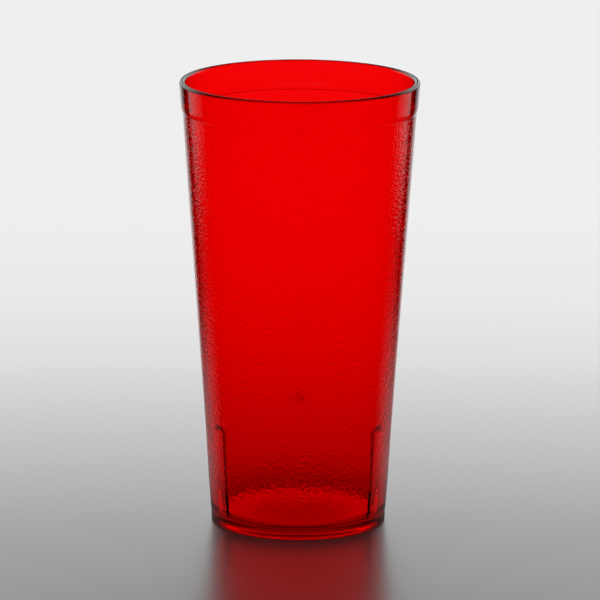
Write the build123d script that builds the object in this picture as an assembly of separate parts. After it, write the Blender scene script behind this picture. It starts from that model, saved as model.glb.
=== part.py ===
# Stackable drinking tumbler: one injection-moulded plastic shell, open at the top.
# Millimetres, +Z up, origin at the centre of the plane the foot ring rests on.
import os
from math import atan2, cos, pi, radians, sin, tan

from build123d import *

# Overall shape
HEIGHT = 164.0            # resting plane to the crown of the lip
RIM_DIAMETER = 87.8       # over the smooth band, carried up to the crown
HEEL_DIAMETER = 64.1      # plain upright heel under the textured wall
HEEL_HEIGHT = 4.0         # resting plane to the top of the heel
HEEL_STEP = 0.2           # how far the textured wall stands out over the heel
HEEL_EASE = 0.5           # height of the slope that joins heel and wall

# Wall, floor and foot
WALL = 2.4                # side wall, measured level
FLOOR = 2.7               # floor over the recess
FLOOR_ROUND = 2.8         # radius of the inside corner between floor and wall
FLOOR_ROUND_STEPS = 4     # straight steps that the inside corner is turned in
RECESS_DEPTH = 1.7        # hollow under the floor
FOOT_RING = 3.2           # width of the ring the tumbler stands on
RECESS_DRAFT = 20.0       # degrees, slope of the recess side
RECESS_EASE = 0.5         # chamfer at the top of the recess side
FOOT_EDGE_OUT = 0.6       # chamfer on the outer bottom edge
FOOT_EDGE_IN = 0.3        # chamfer on the inner bottom edge

# Smooth drinking band under the lip
BAND_HEIGHT = 11.2        # crown of the lip down to the line where the texture starts
BAND_PROUD = 0.43         # how far the band stands out over the wall
BAND_SHOULDER = 2.6       # height over which the band swells out from that line
LIP_RELIEF = 0.6          # how far the inside opens out towards the lip
LIP_RELIEF_HEIGHT = 9.0   # height of that opening, from the crown down

# Gate well in the middle of the underside
GATE_WELL_DIAMETER = 9.0
GATE_WELL_DEPTH = 0.5
GATE_STUB_DIAMETER = 2.0
GATE_STUB_HEIGHT = 0.4

# Stacking lugs on the inside, one straight back and the others evenly round
LUG_COUNT = 3
LUG_FIRST_ANGLE = 90.0    # degrees from +X
LUG_WIDTH = 4.8           # across the seat
LUG_SIDE_DRAFT = 0.4      # degrees, each side widens downward
LUG_HEIGHT = 34.0         # floor to seat
LUG_REACH = 1.2           # wall to crest, at the seat
LUG_FOOT_REACH = 0.6      # wall to crest, where the crest meets the floor
LUG_CORNER = 2.0          # round corners of the seat, seen from the middle
LUG_EDGE = 0.4            # chamfer along the sides and the top of the crest

# Values that follow from the sizes above
rim_r = RIM_DIAMETER / 2
heel_r = HEEL_DIAMETER / 2
foot_wall_r = heel_r + HEEL_STEP
floor_z = RECESS_DEPTH + FLOOR
ease_z = HEEL_HEIGHT + HEEL_EASE
slope = (rim_r - BAND_PROUD - foot_wall_r) / (HEIGHT - ease_z)
draft = atan2(slope, 1.0)


def outer_r(z):
    """Radius of the textured wall, and of its line carried on under the band."""
    return foot_wall_r + slope * (z - ease_z)


def inner_r(z):
    """Radius of the inside of the wall."""
    return outer_r(z) - WALL


# Section of the shell, a closed outline turned about Z
band_z = HEIGHT - BAND_HEIGHT
swell_z = band_z + BAND_SHOULDER
lip_r = (WALL + BAND_PROUD - LIP_RELIEF) * cos(draft) / 2
lip_z = HEIGHT - lip_r
lip_x = (outer_r(lip_z) + BAND_PROUD + inner_r(lip_z) + LIP_RELIEF) / 2
relief_z = HEIGHT - LIP_RELIEF_HEIGHT


def lip_point(turn):
    """A point on the round of the lip, turned in radians from its outer end to its inner end."""
    return (lip_x + lip_r * cos(turn - draft), lip_z + lip_r * sin(turn - draft))


swell = (outer_r(swell_z) + BAND_PROUD, swell_z)
line = (outer_r(band_z), band_z)
ring_r = heel_r - FOOT_RING
recess_r = ring_r - RECESS_DEPTH * tan(radians(RECESS_DRAFT))
well_r = GATE_WELL_DIAMETER / 2
stub_r = GATE_STUB_DIAMETER / 2
well_z = RECESS_DEPTH + GATE_WELL_DEPTH
stub_z = well_z - GATE_STUB_HEIGHT
round_z = floor_z + FLOOR_ROUND
round_x = inner_r(round_z) - FLOOR_ROUND / cos(draft)


def floor_point(step):
    """A point on the inside corner, counted from its upper end on the wall down to the floor."""
    turn = -draft - (pi / 2 - draft) * step / FLOOR_ROUND_STEPS
    return (round_x + FLOOR_ROUND * cos(turn), round_z + FLOOR_ROUND * sin(turn))


def corner(sketch, point):
    """The corner of a flat outline nearest to a point."""
    return sketch.vertices().sort_by_distance(Vector(*point))[0]


section = make_face(
    [
        Polyline((0, floor_z), (0, stub_z), (stub_r, stub_z), (stub_r, well_z), (well_r, well_z)),
        Polyline((well_r, well_z), (well_r, RECESS_DEPTH), (recess_r, RECESS_DEPTH), (ring_r, 0)),
        Polyline((ring_r, 0), (heel_r, 0), (heel_r, HEEL_HEIGHT), (foot_wall_r, ease_z), line),
        TangentArc(swell, line, tangent=(-sin(draft), -cos(draft))),
        Line(swell, lip_point(0)),
        ThreePointArc(lip_point(0), lip_point(pi / 4), lip_point(pi / 2)),
        ThreePointArc(lip_point(pi / 2), lip_point(3 * pi / 4), lip_point(pi)),
        Polyline(lip_point(pi), (inner_r(relief_z), relief_z), floor_point(0)),
        Polyline(*[floor_point(i) for i in range(FLOOR_ROUND_STEPS + 1)], (0, floor_z)),
    ]
)
section = chamfer(corner(section, (recess_r, RECESS_DEPTH)), RECESS_EASE)
section = chamfer(corner(section, (ring_r, 0)), FOOT_EDGE_IN)
section = chamfer(corner(section, (heel_r, 0)), FOOT_EDGE_OUT)
shell = revolve(Plane.XZ * section, axis=Axis.Z)

# One stacking lug, on +X: what its side outline and its front outline have in common
seat_z = floor_z + LUG_HEIGHT
root_z = floor_z - FLOOR / 2
half_top = LUG_WIDTH / 2
half_foot = half_top + (seat_z - root_z) * tan(radians(LUG_SIDE_DRAFT))
buried_top = (inner_r(seat_z) + WALL / 2, seat_z)
buried_foot = (inner_r(root_z) + WALL / 2, root_z)


def crest_point(z):
    """A point on the line of the crest, which comes closer to the wall going down."""
    reach = LUG_FOOT_REACH + (LUG_REACH - LUG_FOOT_REACH) * (z - floor_z) / LUG_HEIGHT
    return (inner_r(z) - reach, z)


side_outline = make_face(
    Polyline(crest_point(root_z), crest_point(seat_z), buried_top, buried_foot, close=True)
)
front_left = (-half_top, seat_z)
front_right = (half_top, seat_z)
front_outline = make_face(
    Polyline((-half_foot, root_z), (half_foot, root_z), front_right, front_left, close=True)
)
front_outline = fillet(front_outline.vertices().group_by(Axis.Y)[-1], LUG_CORNER)

lug = extrude(Plane.XZ * side_outline, half_foot + WALL, both=True)
lug = lug & extrude(Plane.YZ * front_outline, rim_r)
crest = lug.faces().filter_by(GeomType.PLANE).sort_by(Axis.X)[0]
crest_border = crest.edges().sort_by(Axis.Z)[1:]
lug = chamfer(crest_border, LUG_EDGE)

tumbler = shell
for i in range(LUG_COUNT):
    tumbler = tumbler + Rot(0, 0, LUG_FIRST_ANGLE + 360 * i / LUG_COUNT) * lug

box = tumbler.bounding_box()
print("solids", len(tumbler.solids()), "valid", tumbler.is_valid)
print("size", box.size, "volume", tumbler.volume)

os.makedirs("parts", exist_ok=True)
export_step(tumbler, "parts/tumbler.step")
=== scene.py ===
# %% [markdown]
# # A red plastic tumbler on a pale floor
#
# The object is one moulded piece: a tapered cup of clear red plastic. Its wall is pebbled on the outside,
# with a smooth band under the lip, and three lugs inside hold a stacked tumbler off the wall.
# A clear object is drawn almost wholly by what it bends and mirrors, so the wall has its real thickness,
# and most of the work goes into the section, the plastic and the stage around it.
#
# Its box gives the size that the visible piece has to keep.

# %% Frame
from math import atan2, ceil, pi, radians, sin, tan

import bmesh
import bpy
from mathutils import Matrix, Vector


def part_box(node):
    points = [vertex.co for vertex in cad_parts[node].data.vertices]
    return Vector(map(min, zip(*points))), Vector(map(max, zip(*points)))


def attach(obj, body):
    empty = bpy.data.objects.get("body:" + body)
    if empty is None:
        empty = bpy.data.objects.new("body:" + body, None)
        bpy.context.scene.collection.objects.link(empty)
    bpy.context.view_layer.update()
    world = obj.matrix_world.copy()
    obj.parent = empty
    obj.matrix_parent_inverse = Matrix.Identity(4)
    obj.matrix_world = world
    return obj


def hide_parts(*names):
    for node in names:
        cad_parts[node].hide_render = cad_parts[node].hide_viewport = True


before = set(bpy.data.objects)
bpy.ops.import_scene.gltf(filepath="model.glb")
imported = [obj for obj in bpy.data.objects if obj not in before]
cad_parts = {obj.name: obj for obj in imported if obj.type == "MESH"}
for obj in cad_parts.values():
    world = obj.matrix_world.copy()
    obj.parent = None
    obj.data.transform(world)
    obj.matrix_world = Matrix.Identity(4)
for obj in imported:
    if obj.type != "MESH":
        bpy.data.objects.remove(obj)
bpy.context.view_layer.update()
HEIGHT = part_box("tumbler")[1][2]
print("the packed tumbler is", round(HEIGHT * 1000, 1), "mm tall")

# %% [markdown]
# ## Camera
#
# The photo was taken with a long lens from a little above. The rim is a flat ellipse, the foot a rounder
# one, and the two together give the distance and the pitch. A long lens from 1.8 m shows both sides of
# the taper nearly as a drawing would.

# %% Camera
CAMERA_PLACE = (0.00038, -1.7191, 0.4782)
CAMERA_PITCH = radians(12.972)      # below level
CAMERA_ROLL = radians(0.226)
FOCAL_PIXELS = 4817.0
FRAME_PIXELS = 600.0
SENSOR = 36.0                       # millimetres

aim = Matrix.Rotation(pi / 2 - CAMERA_PITCH, 4, "X") @ Matrix.Rotation(CAMERA_ROLL, 4, "Z")
bpy.ops.object.camera_add(location=CAMERA_PLACE, rotation=aim.to_euler())
camera = bpy.context.object
camera.data.sensor_width = SENSOR
camera.data.lens = SENSOR * FOCAL_PIXELS / FRAME_PIXELS
bpy.context.scene.camera = camera
print("the lens is", round(camera.data.lens), "mm")

# %% [markdown]
# ## Section of the cup
#
# A moulded cup is a solid of revolution, so one half of its section holds nearly the whole shape.
# The section could be a curve with a screw modifier. Here it is drawn as a chain of points in the
# plane y = 0, as one would extrude a vertex along a drawing, and then spun, because the chain can be
# divided just where the lugs will need rings.
#
# The outline is a short list of corners, each with the radius it is rounded to. A guard point on each
# side of a rounded corner keeps its shading from spreading along the straight stretch next to it.

# %% Sizes of the section
RIM_RADIUS = 0.0439          # over the band, carried up to the crown of the lip
HEEL_RADIUS = 0.03205
HEEL_HEIGHT = 0.004
HEEL_STEP = 0.0002
HEEL_EASE = 0.0005
WALL = 0.0024
FLOOR = 0.0027
FLOOR_ROUND = 0.0028
RECESS_DEPTH = 0.0017
FOOT_RING = 0.0032
BAND_HEIGHT = 0.0112
BAND_PROUD = 0.00043
BAND_SHOULDER = 0.0026
BAND_STEP = 0.00014          # the fine step that draws the line under the band
LIP_RELIEF = 0.0006          # the inside opens out towards the lip
LIP_RELIEF_HEIGHT = 0.009
WELL_RADIUS = 0.0045
WELL_DEPTH = 0.0005
STUB_RADIUS = 0.001
STUB_HEIGHT = 0.0004
RECESS_DRAFT = radians(20)
LIP_SHARE = 0.497            # the lip's radius over its thickness, just under a full round

EASE_Z = HEEL_HEIGHT + HEEL_EASE
FLOOR_Z = RECESS_DEPTH + FLOOR
BAND_Z = HEIGHT - BAND_HEIGHT
FOOT_WALL_RADIUS = HEEL_RADIUS + HEEL_STEP
SLOPE = (RIM_RADIUS - BAND_PROUD - FOOT_WALL_RADIUS) / (HEIGHT - EASE_Z)


def outer_r(z):
    """Radius of the pebbled wall, and of its line carried on under the band."""
    return FOOT_WALL_RADIUS + SLOPE * (z - EASE_Z)


def inner_r(z):
    """Radius of the inside of the wall."""
    return outer_r(z) - WALL


lip_radius = (WALL + BAND_PROUD - LIP_RELIEF) * LIP_SHARE
relief_z = HEIGHT - LIP_RELIEF_HEIGHT
shoulder_z = BAND_Z + BAND_SHOULDER / 2
ring_r = HEEL_RADIUS - FOOT_RING
recess_r = ring_r - RECESS_DEPTH * tan(RECESS_DRAFT)
well_z = RECESS_DEPTH + WELL_DEPTH

# Each corner: radius from the axis, height, and the radius it is rounded to
corners = [
    (0, well_z - STUB_HEIGHT, 0),
    (STUB_RADIUS, well_z - STUB_HEIGHT, 0.00015),
    (STUB_RADIUS, well_z, 0.00015),
    (WELL_RADIUS, well_z, 0.0002),
    (WELL_RADIUS, RECESS_DEPTH, 0.0002),
    (recess_r, RECESS_DEPTH, 0.0006),
    (ring_r, 0, 0.0003),
    (HEEL_RADIUS, 0, 0.0006),
    (HEEL_RADIUS, HEEL_HEIGHT, 0.0003),
    (FOOT_WALL_RADIUS, EASE_Z, 0.0003),
    (outer_r(BAND_Z), BAND_Z, 0),
    (outer_r(BAND_Z) + BAND_STEP, BAND_Z + BAND_STEP, 0),
    (outer_r(shoulder_z) + BAND_PROUD, shoulder_z, 0.008),
    (RIM_RADIUS, HEIGHT, lip_radius),
    (inner_r(HEIGHT) + LIP_RELIEF, HEIGHT, lip_radius),
    (inner_r(relief_z), relief_z, 0.02),
    (inner_r(FLOOR_Z), FLOOR_Z, FLOOR_ROUND),
    (0, FLOOR_Z, 0),
]
print("the section has", len(corners), "corners")

# %% Round the corners
GUARD = 0.0002               # from the end of a round to its guard point
FINE_TURN = radians(9)       # one step of a round that shows
COARSE_TURN = radians(22.5)  # one step of a small edge
SMALL_RADIUS = 0.001
TOUCH = 1e-6                 # points closer than this are one
NEAR_WALL = 1e-5             # points closer than this to the wall are on it


def round_corner(before, corner, after, radius):
    """Points of one rounded corner, with a guard point on each side."""
    back = (before - corner).normalized()
    ahead = (after - corner).normalized()
    half = back.angle(ahead) / 2
    reach = radius / tan(half)
    centre = corner + (back + ahead).normalized() * radius / sin(half)
    start = (corner + back * reach - centre).normalized()
    end = (corner + ahead * reach - centre).normalized()
    step = COARSE_TURN if radius < SMALL_RADIUS else FINE_TURN
    count = ceil((pi - 2 * half) / step)
    arc = [centre + start.slerp(end, i / count) * radius for i in range(count + 1)]
    if (before - corner).length > reach + 2 * GUARD:
        arc.insert(0, arc[0] + back * GUARD)
    if (after - corner).length > reach + 2 * GUARD:
        arc.append(arc[-1] + ahead * GUARD)
    return arc


def section_points():
    """The whole section, from the axis under the foot, over the lip and back to the axis inside."""
    flat = [Vector((r, z)) for r, z, _ in corners]
    points = [flat[0]]
    for i in range(1, len(corners) - 1):
        radius = corners[i][2]
        here = round_corner(flat[i - 1], flat[i], flat[i + 1], radius) if radius else [flat[i]]
        points += [p for p in here if (p - points[-1]).length > TOUCH]
    return points + [flat[-1]]


points = section_points()
print("the section has", len(points), "points")

# %% [markdown]
# ## Spin
#
# The chain starts as a small circle that is merged to one vertex. Each extrusion draws the next edge.
# Long straight edges are then divided, the inner wall closely where the lugs will be, and the chain is
# spun once round the axis. The first and the last copy lie on each other and are merged.

# %% Draw the chain
LUG_RING_STEP = 0.001
LUG_ZONE_TOP = 0.044
SPIN_STEPS = 192
INNER_CUTS = 10              # on the inner wall above the lugs
OUTER_CUTS = 14              # on the pebbled wall
FLOOR_CUTS = 8               # from the axis to the round at the floor


def draw_chain(name, points):
    """A chain of edges through (r, z) points, extruded one by one from a single vertex."""
    bpy.ops.object.select_all(action="DESELECT")
    start = Vector((points[0][0], 0, points[0][1]))
    bpy.ops.mesh.primitive_circle_add(vertices=3, radius=0.001, location=start)
    piece = bpy.context.object
    piece.name = name
    bpy.ops.object.transform_apply(location=True, rotation=False, scale=False)
    bpy.ops.object.mode_set(mode="EDIT")
    bpy.ops.mesh.select_mode(type="VERT")
    bpy.ops.mesh.select_all(action="SELECT")
    bpy.ops.mesh.merge(type="CENTER")
    for here, there in zip(points, points[1:]):
        step = (there[0] - here[0], 0, there[1] - here[1])
        bpy.ops.mesh.extrude_region_move(TRANSFORM_OT_translate={"value": step})
    return piece


def select_where(piece, kind, test):
    """Selects the vertices, edges or faces whose points all pass a test of their place."""
    bpy.ops.mesh.select_mode(type=kind)
    bpy.ops.mesh.select_all(action="DESELECT")
    bm = bmesh.from_edit_mesh(piece.data)
    items = {"VERT": bm.verts, "EDGE": bm.edges, "FACE": bm.faces}[kind]
    count = 0
    for item in items:
        verts = [item] if kind == "VERT" else item.verts
        if all(test(v.co) for v in verts):
            item.select_set(True)
            count += 1
    bm.select_flush_mode()
    bmesh.update_edit_mesh(piece.data)
    return count


# The inner wall gets a point at the top of the lug zone, so that only the stretch below is divided
inner_top = next(i for i, p in enumerate(points) if p[1] < LUG_ZONE_TOP and points[i - 1][1] > LUG_ZONE_TOP
                 and i > len(points) / 2)
points.insert(inner_top, Vector((inner_r(LUG_ZONE_TOP), LUG_ZONE_TOP)))
tumbler = draw_chain("tumbler_shell", points)
print("the chain is drawn through", len(points), "points")

# %% Divide and spin it
inside_z = FLOOR_Z + FLOOR_ROUND


def on_inner_wall(co):
    return abs(co.to_2d().length - inner_r(co.z)) < NEAR_WALL


def on_outer_wall(co):
    return abs(co.to_2d().length - outer_r(co.z)) < NEAR_WALL


select_where(tumbler, "EDGE", lambda co: on_inner_wall(co) and inside_z < co.z < LUG_ZONE_TOP + NEAR_WALL)
bpy.ops.mesh.subdivide(number_cuts=int((LUG_ZONE_TOP - inside_z) / LUG_RING_STEP))
select_where(tumbler, "EDGE", lambda co: on_inner_wall(co) and LUG_ZONE_TOP - NEAR_WALL < co.z < relief_z)
bpy.ops.mesh.subdivide(number_cuts=INNER_CUTS)
select_where(tumbler, "EDGE", lambda co: on_outer_wall(co) and EASE_Z < co.z < BAND_Z + NEAR_WALL)
bpy.ops.mesh.subdivide(number_cuts=OUTER_CUTS)
select_where(tumbler, "EDGE", lambda co: abs(co.z - FLOOR_Z) < TOUCH)
bpy.ops.mesh.subdivide(number_cuts=FLOOR_CUTS)

bpy.ops.mesh.select_all(action="SELECT")
bpy.ops.mesh.spin(steps=SPIN_STEPS, angle=2 * pi, center=(0, 0, 0), axis=(0, 0, 1))
bpy.ops.mesh.select_all(action="SELECT")
bpy.ops.mesh.remove_doubles(threshold=TOUCH)
bpy.ops.mesh.select_all(action="SELECT")
bpy.ops.mesh.normals_make_consistent(inside=False)
# On a thin closed shell the recalculation now and then turns every face inward
if bmesh.from_edit_mesh(tumbler.data).calc_volume(signed=True) < 0:
    bpy.ops.mesh.flip_normals()
bpy.ops.object.mode_set(mode="OBJECT")
print("the spun shell has", len(tumbler.data.polygons), "faces")

# %% [markdown]
# ## Stacking lugs
#
# Three short ribs rise from the floor inside. The foot of a stacked tumbler lands on their tops, so the
# two walls never jam. A boolean would leave a hard, badly shaded seam in clear plastic. The ribs are
# pulled out of the wall instead: a patch of the inner wall is divided finely, and its middle is tipped
# inward with proportional editing, which blends the sides as a mould's radius does. The tip turns about
# a level line below the foot, so that the rib stands out most at its top.

# %% Pull the lugs
LUG_COUNT = 3
LUG_WIDTH = 0.0048
LUG_HEIGHT = 0.034
LUG_REACH = 0.0016           # wall to crest at the top
LUG_FOOT_REACH = 0.0005      # wall to crest at the floor
LUG_CORNER = 0.0022          # round upper corners
LUG_BLEND = 0.0022           # width of the blend at the sides
LUG_CUTS = 4                 # cuts in each face of the patch

seat_z = FLOOR_Z + LUG_HEIGHT
lug_lean = atan2(LUG_REACH - LUG_FOOT_REACH, LUG_HEIGHT)
hinge_z = FLOOR_Z - LUG_FOOT_REACH / tan(lug_lean)
round_r = inner_r(inside_z) - FLOOR_ROUND


def inside_r(z):
    """Radius of the inside, the round at the floor included."""
    if z > inside_z:
        return inner_r(z)
    drop = min(inside_z - z, FLOOR_ROUND)
    return round_r + (FLOOR_ROUND ** 2 - drop ** 2) ** 0.5


def round_the_patch(piece):
    """Slides the new points of the selected patch from the flat facets out to the true round."""
    bm = bmesh.from_edit_mesh(piece.data)
    for v in bm.verts:
        if v.select and v.co.z > FLOOR_Z + GUARD:
            level = Vector((v.co.x, v.co.y, 0))
            v.co += level.normalized() * (inside_r(v.co.z) - level.length)
    bmesh.update_edit_mesh(piece.data)


def in_patch(co):
    """The stretch of the inside, on +Y, that a lug is pulled from."""
    near = co.y > 0 and abs(co.x) < LUG_WIDTH / 2 + 2 * LUG_BLEND
    inside = round_r - GUARD < co.to_2d().length < inner_r(co.z) + GUARD
    return near and inside and FLOOR_Z - TOUCH < co.z < seat_z + 3 * LUG_BLEND


def in_core(co):
    """The part of the patch that becomes the crest: a tall outline with round upper corners."""
    if not in_patch(co) or co.z < FLOOR_Z + FLOOR_ROUND / 3:
        return False
    along = abs(atan2(co.x, co.y)) * inner_r(seat_z - LUG_HEIGHT / 2)
    side = LUG_WIDTH / 2 - LUG_BLEND / 2
    top = seat_z - LUG_BLEND / 2
    corner = LUG_CORNER - LUG_BLEND / 2
    past_side = along - (side - corner)
    past_top = co.z - (top - corner)
    if past_side > 0 and past_top > 0:
        return past_side ** 2 + past_top ** 2 < corner ** 2
    return past_side < corner and past_top < corner


bpy.ops.object.mode_set(mode="EDIT")
for i in range(LUG_COUNT):
    select_where(tumbler, "FACE", in_patch)
    bpy.ops.mesh.subdivide(number_cuts=LUG_CUTS)
    round_the_patch(tumbler)
    chosen = select_where(tumbler, "VERT", in_core)
    bpy.ops.transform.rotate(
        value=-lug_lean,
        orient_axis="X",
        center_override=(0, inner_r(hinge_z), hinge_z),
        use_proportional_edit=True,
        proportional_edit_falloff="SMOOTH",
        proportional_size=LUG_BLEND,
    )
    bm = bmesh.from_edit_mesh(tumbler.data)
    reach = max(inside_r(v.co.z) - v.co.to_2d().length for v in bm.verts if v.select)
    print("lug", i + 1, "points", chosen, "reach", round(reach * 1000, 2), "mm")
    bpy.ops.mesh.select_all(action="SELECT")
    bpy.ops.transform.rotate(value=2 * pi / LUG_COUNT, orient_axis="Z", center_override=(0, 0, 0))
volume = bmesh.from_edit_mesh(tumbler.data).calc_volume(signed=True)
print("plastic", round(volume * 1e6, 1), "cubic centimetres, above 0 because the faces look outward")

# %% [markdown]
# ## Shading and the pebbled zone
#
# The whole piece is shaded smooth. Only the line where the band swells out of the wall is a true crease,
# so its edges are marked sharp. The pebble stops at that line and at the heel: an attribute holds 1 on the
# pebbled wall and 0 elsewhere, and the plastic reads it, so that one finish covers the one piece.

# %% Smooth the shell and mark the pebble
select_where(tumbler, "EDGE", lambda co: on_outer_wall(co) and abs(co.z - BAND_Z) < TOUCH)
bpy.ops.mesh.mark_sharp()
bpy.ops.object.mode_set(mode="OBJECT")
bpy.ops.object.shade_smooth()
bpy.ops.geometry.attribute_add(name="pebble", domain="POINT", data_type="FLOAT")
bpy.ops.object.mode_set(mode="EDIT")
pebbled = select_where(
    tumbler, "VERT", lambda co: on_outer_wall(co) and EASE_Z + 2 * GUARD < co.z < BAND_Z + TOUCH
)
bpy.ops.mesh.attribute_set(value_float=1.0)
bpy.ops.object.mode_set(mode="OBJECT")
print("pebbled points", pebbled, "of", len(tumbler.data.vertices))

# %% [markdown]
# ## Red plastic
#
# Clear coloured plastic has three things to get right. Light is bent at each face by the index of
# refraction. It is dyed on its way through, so that a longer path is darker: that is an absorption in the
# volume. And a fine pebble on the outside scatters what shows through it, which is a bump of about one
# millimetre on the object's own coordinates.

# %% Nodes in short
def node(tree, kind, **values):
    """A new node with its properties and the constants of its sockets set."""
    made = tree.nodes.new(kind)
    for name, value in values.items():
        if hasattr(made, name):
            setattr(made, name, value)
        else:
            made.inputs[name.replace("_", " ")].default_value = value
    return made


def calc(tree, operation, first, second=None):
    """A math node on sockets or numbers, returning its result."""
    made = tree.nodes.new("ShaderNodeMath")
    made.operation = operation
    for slot, value in zip(made.inputs, (first, second)):
        if isinstance(value, bpy.types.NodeSocket):
            tree.links.new(value, slot)
        elif value is not None:
            slot.default_value = value
    return made.outputs[0]


# %% Plastic
PEBBLE_SCALE = (760.0, 760.0, 1000.0)
PEBBLE_HEIGHT = 0.00009


def red_plastic():
    """Clear plastic that dyes the light on its way through, with the pebble where the attribute is 1."""
    material = bpy.data.materials.new("red_plastic")
    material.use_nodes = True
    tree = material.node_tree
    shader = tree.nodes["Principled BSDF"]
    shader.inputs["Base Color"].default_value = (0.98, 0.02, 0.025, 1.0)
    shader.inputs["Roughness"].default_value = 0.0
    shader.inputs["IOR"].default_value = 1.57
    shader.inputs["Transmission Weight"].default_value = 1.0
    shader.inputs["Specular IOR Level"].default_value = 0.2

    place = node(tree, "ShaderNodeTexCoord")
    spacing = node(tree, "ShaderNodeMapping", Scale=PEBBLE_SCALE)
    tree.links.new(place.outputs["Object"], spacing.inputs["Vector"])
    grain = node(tree, "ShaderNodeTexVoronoi", feature="SMOOTH_F1", Scale=1.0, Smoothness=0.6)
    tree.links.new(spacing.outputs["Vector"], grain.inputs["Vector"])
    zone = node(tree, "ShaderNodeAttribute", attribute_name="pebble")
    height = calc(tree, "MULTIPLY", grain.outputs["Distance"], zone.outputs["Fac"])
    bump = node(tree, "ShaderNodeBump", invert=True, Strength=1.0, Distance=PEBBLE_HEIGHT)
    tree.links.new(height, bump.inputs["Height"])
    tree.links.new(bump.outputs["Normal"], shader.inputs["Normal"])

    dye = node(tree, "ShaderNodeVolumeAbsorption", Color=(0.988, 0.04, 0.04, 1.0), Density=1000.0)
    tree.links.new(dye.outputs["Volume"], tree.nodes["Material Output"].inputs["Volume"])
    return material


tumbler.data.materials.append(red_plastic())
print("materials", [m.name for m in tumbler.data.materials])

# %% [markdown]
# ## Light in clear plastic
#
# Clear plastic has hardly a look of its own: it shows what stands around it. A studio puts a bright
# backdrop behind such a cup and leaves the sides dark, so that the edges are drawn as dark strips with a
# pale outline. Cards and lamps could be modelled for that, but they would stand in the way of the other
# views. Here the floor and the world answer a ray of light by how it came to them instead:
#
# - straight through the plastic, it finds the pale floor or the white world,
# - turned back inside the wall, once or led along by several turns, it finds less light,
# - mirrored on the polished outside, it finds a pale back, two side panels and dark between them.
#
# The switches below tell these cases apart by counting the turns of the light.

# %% Light turned back inside
NEAR_KEPT = 0.42             # left of light turned back once, where it lands near the foot
FAR_KEPT = 0.2               # left of light turned back at all, where it lands farther out


def turned_back(tree):
    """Two switches: light turned back once inside the wall, and light led along by several turns."""
    path = node(tree, "ShaderNodeLightPath")
    mirrored = path.outputs["Glossy Depth"]
    passed = path.outputs["Transmission Depth"]
    inside = calc(tree, "GREATER_THAN", passed, 0.5)
    few = calc(tree, "MULTIPLY", inside, calc(tree, "LESS_THAN", passed, 3.5))
    led = calc(tree, "MULTIPLY", inside, calc(tree, "GREATER_THAN", mirrored, 1.5))
    turns = calc(tree, "MULTIPLY", few, calc(tree, "GREATER_THAN", mirrored, 0.5))
    once = calc(tree, "MULTIPLY", turns, calc(tree, "LESS_THAN", mirrored, 1.5))
    return once, led


def mirrored_outside(tree):
    """1 for light that the polished outside mirrored, 0 for the rest, the satin floor's light included."""
    path = node(tree, "ShaderNodeLightPath")
    outside = calc(tree, "LESS_THAN", path.outputs["Transmission Depth"], 0.5)
    return calc(tree, "MULTIPLY", path.outputs["Is Singular Ray"], outside)


print("of the light turned back once,", NEAR_KEPT, "is left near the foot and", FAR_KEPT, "farther out")

# %% [markdown]
# ## Floor
#
# The table is satin: it mirrors the cup softly, and that dark red image takes the place of a shadow.
# Its colour holds painted shade: it is greyer in front of the cup and pale behind it, which is a ramp of
# the distance from a point in front of the foot. To the camera the floor is that satin. Light that comes
# by way of the plastic finds glowing levels that go by the distance from the axis and by the angle from
# straight back; near the cup and under its foot these levels are painted shade. The levels are ramps of
# two to six stops each. From below the floor is clear, so that the underside can be seen.

# %% Floor levels
FLOOR_DROP = 0.0001          # below the foot, so that the two never share a plane
FLOOR_RADIUS = 4.0
FLOOR_ROUGHNESS = 0.28

# Painted shade: the grey pool in front of the foot, in shares of its span
POOL_CENTRE = -0.15
POOL_STRETCH = 0.5
POOL_START = 0.158
POOL_SPAN = 0.75
SHADE_POOL_STOPS = ((0.0, 0.27), (0.2, 0.405), (0.53, 0.745), (0.68, 0.825), (0.95, 0.871))
# Painted shade for light through the plastic: the floor's glow is darker near the cup, white far out
THROUGH_STOPS = ((0.0, 0.27), (0.2, 0.405), (0.34, 0.49), (0.53, 0.75), (0.68, 0.9), (0.95, 1.0))

# Straight through: painted shade on the floor, dark under the middle of the foot and dim at the foot ring,
# by metres from the axis
CONTACT_SHADE_STOPS = ((0.011, 0.05), (0.023, 0.8), (0.03, 0.8), (0.034, 0.35), (0.055, 0.6), (0.09, 1.0))

# Mirrored outside: by degrees from straight back, and by metres from the axis
BACK_STOPS = ((19, 1.0), (28, 0.55), (36, 0.0))
BACK_REACH = ((0.03, 0.0), (0.036, 1.0))
PANEL_STOPS = ((46.5, 0.0), (49.5, 0.66), (58, 0.48), (66, 0.25), (76, 0.0))
PANEL_REACH = ((0.45, 0.05), (0.58, 1.0))
NEAR_REACH = ((0.04, 0.08), (0.09, 0.25), (0.19, 0.25), (0.33, 0.0))
NEAR_SIDES = ((50, 1.0), (72, 0.0))
NEAR_SHIFT = 0.03            # the floor beside the foot is measured from this far in front

# Turned back inside: by metres from the axis
ONCE_STOPS = ((0.08, 0.9), (0.2, NEAR_KEPT), (0.48, NEAR_KEPT), (0.6, FAR_KEPT))
LED_STOPS = ((0.48, 1.0), (0.6, FAR_KEPT))
print("the floor is", 2 * FLOOR_RADIUS, "m across")

# %% Ramps and switches


def ramp(tree, value, stops, span):
    """A grey level for a value between 0 and span, from stops given in the value's own unit."""
    made = node(tree, "ShaderNodeValToRGB")
    tree.links.new(calc(tree, "DIVIDE", value, span), made.inputs["Fac"])
    elements = made.color_ramp.elements
    while len(elements) < len(stops):
        elements.new(0.5)
    for element, (place, level) in zip(elements, stops):
        element.position = place / span
        element.color = (level, level, level, 1.0)
    return made.outputs["Color"]


def length(tree, a, b):
    """Length of a level distance."""
    squares = calc(tree, "MULTIPLY", a, a), calc(tree, "MULTIPLY", b, b)
    return calc(tree, "SQRT", calc(tree, "ADD", *squares))


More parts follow.
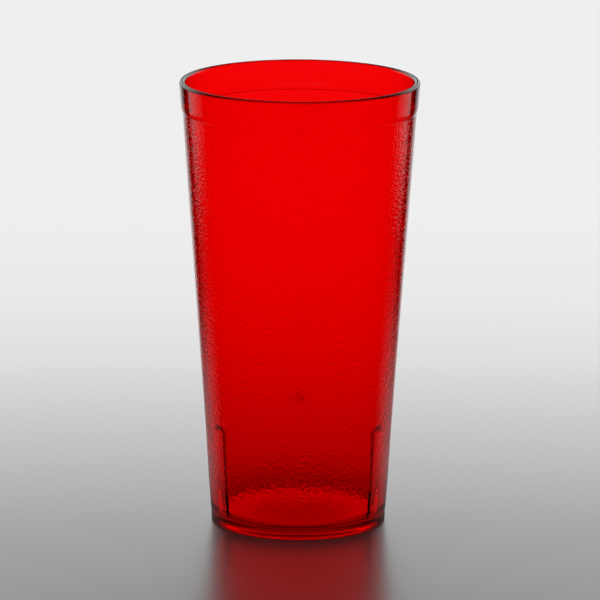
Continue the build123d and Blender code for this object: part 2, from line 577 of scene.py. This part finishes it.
def choose(tree, switch, off, on):
    """The first value where the switch is 0, the second where it is 1."""
    made = node(tree, "ShaderNodeMix", data_type="FLOAT")
    for slot, value in zip((0, 2, 3), (switch, off, on)):
        tree.links.new(value, made.inputs[slot])
    return made.outputs[0]


def mix_shaders(tree, switch, off, on):
    """The first shader where the switch is 0, the second where it is 1."""
    made = node(tree, "ShaderNodeMixShader")
    for slot, value in zip(made.inputs, (switch, off.outputs[0], on.outputs[0])):
        tree.links.new(value, slot)
    return made


def turned(tree, side, back):
    """Degrees between straight back and a level direction."""
    return calc(tree, "MULTIPLY", calc(tree, "ABSOLUTE", calc(tree, "ARCTAN2", side, back)), 180 / pi)


# %% Floor
def mirrored_level(tree, x, y):
    """What the plastic mirrors on its outside: the pale back, two side panels, the floor at its foot."""
    angle = turned(tree, x, y)
    away = length(tree, x, y)
    back = calc(tree, "MULTIPLY", ramp(tree, angle, BACK_STOPS, 180), ramp(tree, away, BACK_REACH, 1.0))
    panel = ramp(tree, angle, PANEL_STOPS, 180)
    far = ramp(tree, away, PANEL_REACH, 1.0)
    beside = ramp(tree, turned(tree, x, calc(tree, "ADD", y, NEAR_SHIFT)), NEAR_SIDES, 180)
    near = calc(tree, "MULTIPLY", ramp(tree, away, NEAR_REACH, 1.0), beside)
    return calc(tree, "ADD", calc(tree, "MAXIMUM", back, near), calc(tree, "MULTIPLY", panel, far))


def pale_floor():
    """Satin with painted shade to the camera, levels with painted shade near the foot to light that comes
    by way of the plastic, clear from below.
    """
    material = bpy.data.materials.new("pale_floor")
    material.use_nodes = True
    material.cycles.emission_sampling = "NONE"
    tree = material.node_tree
    tree.nodes.remove(tree.nodes["Principled BSDF"])
    path = node(tree, "ShaderNodeLightPath")
    place = node(tree, "ShaderNodeTexCoord")
    split = node(tree, "ShaderNodeSeparateXYZ")
    tree.links.new(place.outputs["Object"], split.inputs[0])
    x, y = split.outputs["X"], split.outputs["Y"]

    # Painted shade to the camera: a grey pool in front of the foot, paler far off
    stretched = calc(tree, "MULTIPLY", x, POOL_STRETCH)
    seen = length(tree, stretched, calc(tree, "SUBTRACT", y, POOL_CENTRE))
    shade_pool = ramp(tree, calc(tree, "DIVIDE", seen, POOL_SPAN), SHADE_POOL_STOPS, 1.0)
    # Painted shade to light through the plastic: the floor glows darker near the cup
    away = length(tree, x, y)
    spread = calc(tree, "DIVIDE", calc(tree, "ADD", away, POOL_START), POOL_SPAN)
    through = ramp(tree, spread, THROUGH_STOPS, 1.0)
    # Painted shade: the floor seen straight through the plastic is dark under the foot and dim at its ring
    straight = calc(tree, "MULTIPLY", through, ramp(tree, away, CONTACT_SHADE_STOPS, 1.0))
    once, led = turned_back(tree)
    bent = calc(tree, "MULTIPLY", through, ramp(tree, away, ONCE_STOPS, 1.0))
    guided = calc(tree, "MULTIPLY", through, ramp(tree, away, LED_STOPS, 1.0))
    passed = choose(tree, led, choose(tree, once, straight, bent), guided)
    shown = choose(tree, mirrored_outside(tree), passed, mirrored_level(tree, x, y))
    glow = node(tree, "ShaderNodeEmission")
    tree.links.new(shown, glow.inputs["Strength"])

    satin = node(tree, "ShaderNodeBsdfGlossy", Roughness=FLOOR_ROUGHNESS)
    tree.links.new(shade_pool, satin.inputs["Color"])
    top = mix_shaders(tree, path.outputs["Is Camera Ray"], glow, satin)
    underside = node(tree, "ShaderNodeNewGeometry").outputs["Backfacing"]
    surface = mix_shaders(tree, underside, top, node(tree, "ShaderNodeBsdfTransparent"))
    tree.links.new(surface.outputs[0], tree.nodes["Material Output"].inputs["Surface"])
    return material


bpy.ops.object.select_all(action="DESELECT")
bpy.ops.mesh.primitive_circle_add(vertices=96, radius=FLOOR_RADIUS, fill_type="NGON")
bpy.ops.transform.translate(value=(0, 0, -FLOOR_DROP))
floor = bpy.context.object
floor.name = "floor"
floor.data.materials.append(pale_floor())
print("the floor's finish has", len(floor.active_material.node_tree.nodes), "nodes")

# %% [markdown]
# ## World
#
# The backdrop is a white world at strength 1, a little less to the camera, so that it meets the tone of
# the far floor. A lamp or two would leave hard glints that a soft studio doesn't have. Light mirrored on
# the outside finds the world bright only low and behind the cup, which draws the lip dark against it.
# Light goes round inside the lip in many turns, so more bounces are allowed than usual.

# %% World
CAMERA_WHITE = 0.871         # what the camera sees of the backdrop
WORLD_BACK = ((45, 1.0), (75, 0.0))
WORLD_LOW = ((24, 1.0), (35, 0.0))
INNER_TURNS = 12
ALL_TURNS = 20

world = bpy.data.worlds.new("soft_white")
bpy.context.scene.world = world
world.use_nodes = True
tree = world.node_tree
sky = tree.nodes["Background"]
path = node(tree, "ShaderNodeLightPath")
direction = node(tree, "ShaderNodeTexCoord")
split = node(tree, "ShaderNodeSeparateXYZ")
tree.links.new(direction.outputs["Generated"], split.inputs[0])
side, back, up = split.outputs
turn = turned(tree, side, back)
rise = calc(tree, "MULTIPLY", calc(tree, "ARCSINE", up), 180 / pi)
behind = calc(tree, "MULTIPLY", ramp(tree, turn, WORLD_BACK, 180), ramp(tree, rise, WORLD_LOW, 180))
behind = calc(tree, "MULTIPLY", behind, calc(tree, "GREATER_THAN", up, 0.0))
seen_less = calc(tree, "MULTIPLY", path.outputs["Is Camera Ray"], 1.0 - CAMERA_WHITE)
once, led = turned_back(tree)
turned_less = calc(tree, "MULTIPLY", calc(tree, "ADD", once, led), 1.0 - FAR_KEPT)
lost = calc(tree, "MAXIMUM", seen_less, turned_less)
shown = choose(tree, mirrored_outside(tree), calc(tree, "SUBTRACT", 1.0, lost), behind)
sky.inputs["Color"].default_value = (1.0, 1.0, 1.0, 1.0)
tree.links.new(shown, sky.inputs["Strength"])

bpy.context.scene.view_settings.view_transform = "Standard"
bpy.context.scene.cycles.glossy_bounces = INNER_TURNS
bpy.context.scene.cycles.max_bounces = ALL_TURNS
print("the world has", len(tree.nodes), "nodes")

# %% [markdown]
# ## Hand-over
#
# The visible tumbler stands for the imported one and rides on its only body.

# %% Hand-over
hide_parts("tumbler")
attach(tumbler, "root")
print("the tumbler has", len(tumbler.data.polygons), "faces")
